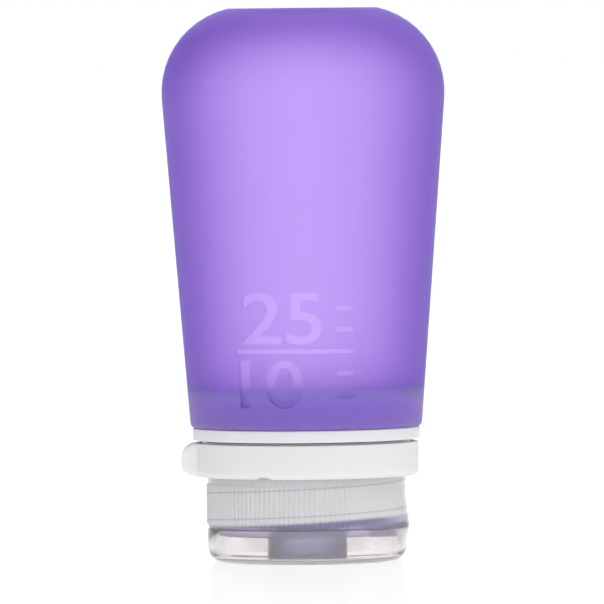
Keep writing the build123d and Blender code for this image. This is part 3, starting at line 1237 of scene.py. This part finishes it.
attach(lid, "flip_lid")

# %% [markdown]
# ## The hinge strap
#
# A thin band of the same plastic joins lid and cap. It stands bowed out of the round wall while the lid is
# shut. It is part of a turn of a thin bowed section.

# %% Turn the strap
STRAP_ANGLE = math.radians(30)
STRAP_THICKNESS = 0.3
STRAP_REACH = 19.3
STRAP_SPAN_UP = 3.0
STRAP_SPAN_DOWN = 2.1
STRAP_FIT = 0.1
BOW_FULLNESS = 0.75
STRAP_STEPS = 12
STRAP_TURN_STEPS = 24

strap_high = cap_bottom + STRAP_SPAN_UP
strap_low = lid_top - STRAP_SPAN_DOWN


def bow(from_radius, to_radius, reach_radius, high, low):
    """Points of a shallow bow between two radii, whose middle reaches a third radius."""
    points = []
    for i in range(STRAP_STEPS + 1):
        share = i / STRAP_STEPS
        base = from_radius + (to_radius - from_radius) * share
        rise = (reach_radius - (from_radius + to_radius) / 2) * math.sin(math.pi * share) ** BOW_FULLNESS
        points.append((base + rise, high + (low - high) * share))
    return points


strap_foot = LID_RIM_RADIUS + STRAP_FIT
outer_bow = bow(CAP_RADIUS, strap_foot, STRAP_REACH, strap_high, strap_low)
inner_bow = bow(
    strap_foot,
    CAP_RADIUS,
    STRAP_REACH - STRAP_THICKNESS,
    strap_low + 2 * STRAP_THICKNESS,
    strap_high - 2 * STRAP_THICKNESS,
)
hinge_direction = THUMB_DIRECTION + math.pi
strap = section("living_hinge", outer_bow + inner_bow, hinge_direction - STRAP_ANGLE / 2)
edit(strap)
bpy.ops.mesh.edge_face_add()
bpy.ops.mesh.spin(steps=STRAP_TURN_STEPS, angle=STRAP_ANGLE, center=(0, 0, 0), axis=(0, 0, 1), dupli=False)
close_edit()
strap.data.materials.append(thin_polypropylene)
print(f"strap: {len(strap.data.polygons)} faces")
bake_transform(strap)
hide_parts("hinge_strap")

# %% [markdown]
# ## The loop
#
# The loop is a soft white band that sits on the cap's seat, with a rounded tab to pull it by. It is turned
# like the rest, and its tab is then drawn out of the band: vertices near the tab's direction move outwards
# along it, most in the middle and not at all at its sides, which leaves the soft fillets that a rubber
# moulding has.

# %% Turn the loop
loop_low, loop_high = reach("loop")
loop_radius = loop_high.y
LOOP_BORE = 19.5
LOOP_EDGE = 1.0
LOOP_TOP_EDGE = 0.25
TAB_HALF_WIDTH = 5.5
TAB_SIDE = 1.3
TAB_CORNER = 2.5
NOTCH_DIRECTION = math.radians(-113.6)
NOTCH_WIDTH = 3.1
NOTCH_DEPTH = 0.45
NOTCH_FADE = 2.5
LOOP_ROWS = 14
LOOP_STEPS = 480
BORE_MARGIN = 0.2
tab_proud = -loop_low.x - loop_radius


def loop_outline():
    """The band's section, with many rows up its outer side so that the tab can be drawn out of them."""
    first = loop_low.z + LOOP_EDGE
    last = loop_high.z - LOOP_TOP_EDGE
    rows = [first + (last - first) * i / LOOP_ROWS for i in range(1, LOOP_ROWS)]
    corners = [
        (LOOP_BORE, loop_low.z, MOULD_EDGE),
        (loop_radius, loop_low.z, LOOP_EDGE),
    ]
    corners += [(loop_radius, row) for row in rows]
    corners += [
        (loop_radius, loop_high.z, LOOP_TOP_EDGE),
        (LOOP_BORE, loop_high.z, MOULD_EDGE),
    ]
    return rounded(corners)


def tab_share(across, height):
    """How far the tab is drawn out at a place on the band, as a share of its full reach."""
    side = min(1.0, max(0.0, (TAB_HALF_WIDTH + TAB_SIDE / 2 - abs(across)) / TAB_SIDE))
    lift = min(height - loop_low.z, loop_high.z - height)
    corner = max(0.0, TAB_CORNER - lift)
    drawn_in = TAB_CORNER - math.sqrt(max(0.0, TAB_CORNER**2 - corner**2))
    return side * side * (3 - 2 * side) * (1 - drawn_in / tab_proud)


def notch_lift(x, y, height):
    """How far the foot of the band is lifted into the small arched notch, dying away upwards."""
    across = y * math.cos(NOTCH_DIRECTION) - x * math.sin(NOTCH_DIRECTION)
    outwards = x * math.cos(NOTCH_DIRECTION) + y * math.sin(NOTCH_DIRECTION)
    if outwards < 0 or abs(across) > NOTCH_WIDTH / 2:
        return 0.0
    arch = 1 - (2 * across / NOTCH_WIDTH) ** 2
    return NOTCH_DEPTH * arch * max(0.0, 1 - (height - loop_low.z) / NOTCH_FADE)


loop = turned("carrying_loop", loop_outline(), steps=LOOP_STEPS)
for vertex in loop.data.vertices:
    x, y, z = vertex.co / MM
    out = math.hypot(x, y)
    vertex.co.z += notch_lift(x, y, z) * MM
    if x < 0 and abs(y) < TAB_HALF_WIDTH + TAB_SIDE and out > LOOP_BORE + BORE_MARGIN:
        depth_share = (out - LOOP_BORE) / (loop_radius - LOOP_BORE)
        flat = (loop_radius - math.sqrt(loop_radius**2 - y**2)) * depth_share
        vertex.co.x -= max(0.0, tab_share(y, z) * (tab_proud + flat) * depth_share) * MM
loop.data.materials.append(white_silicone)
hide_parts("loop")
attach(loop, "carry_loop")

# %% Measure the finished bottle
visual_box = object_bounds()
sides = [f"{(high - low) / MM:.1f}" for low, high in zip(*visual_box)]
print("the bottle measures", " by ".join(sides), "mm")
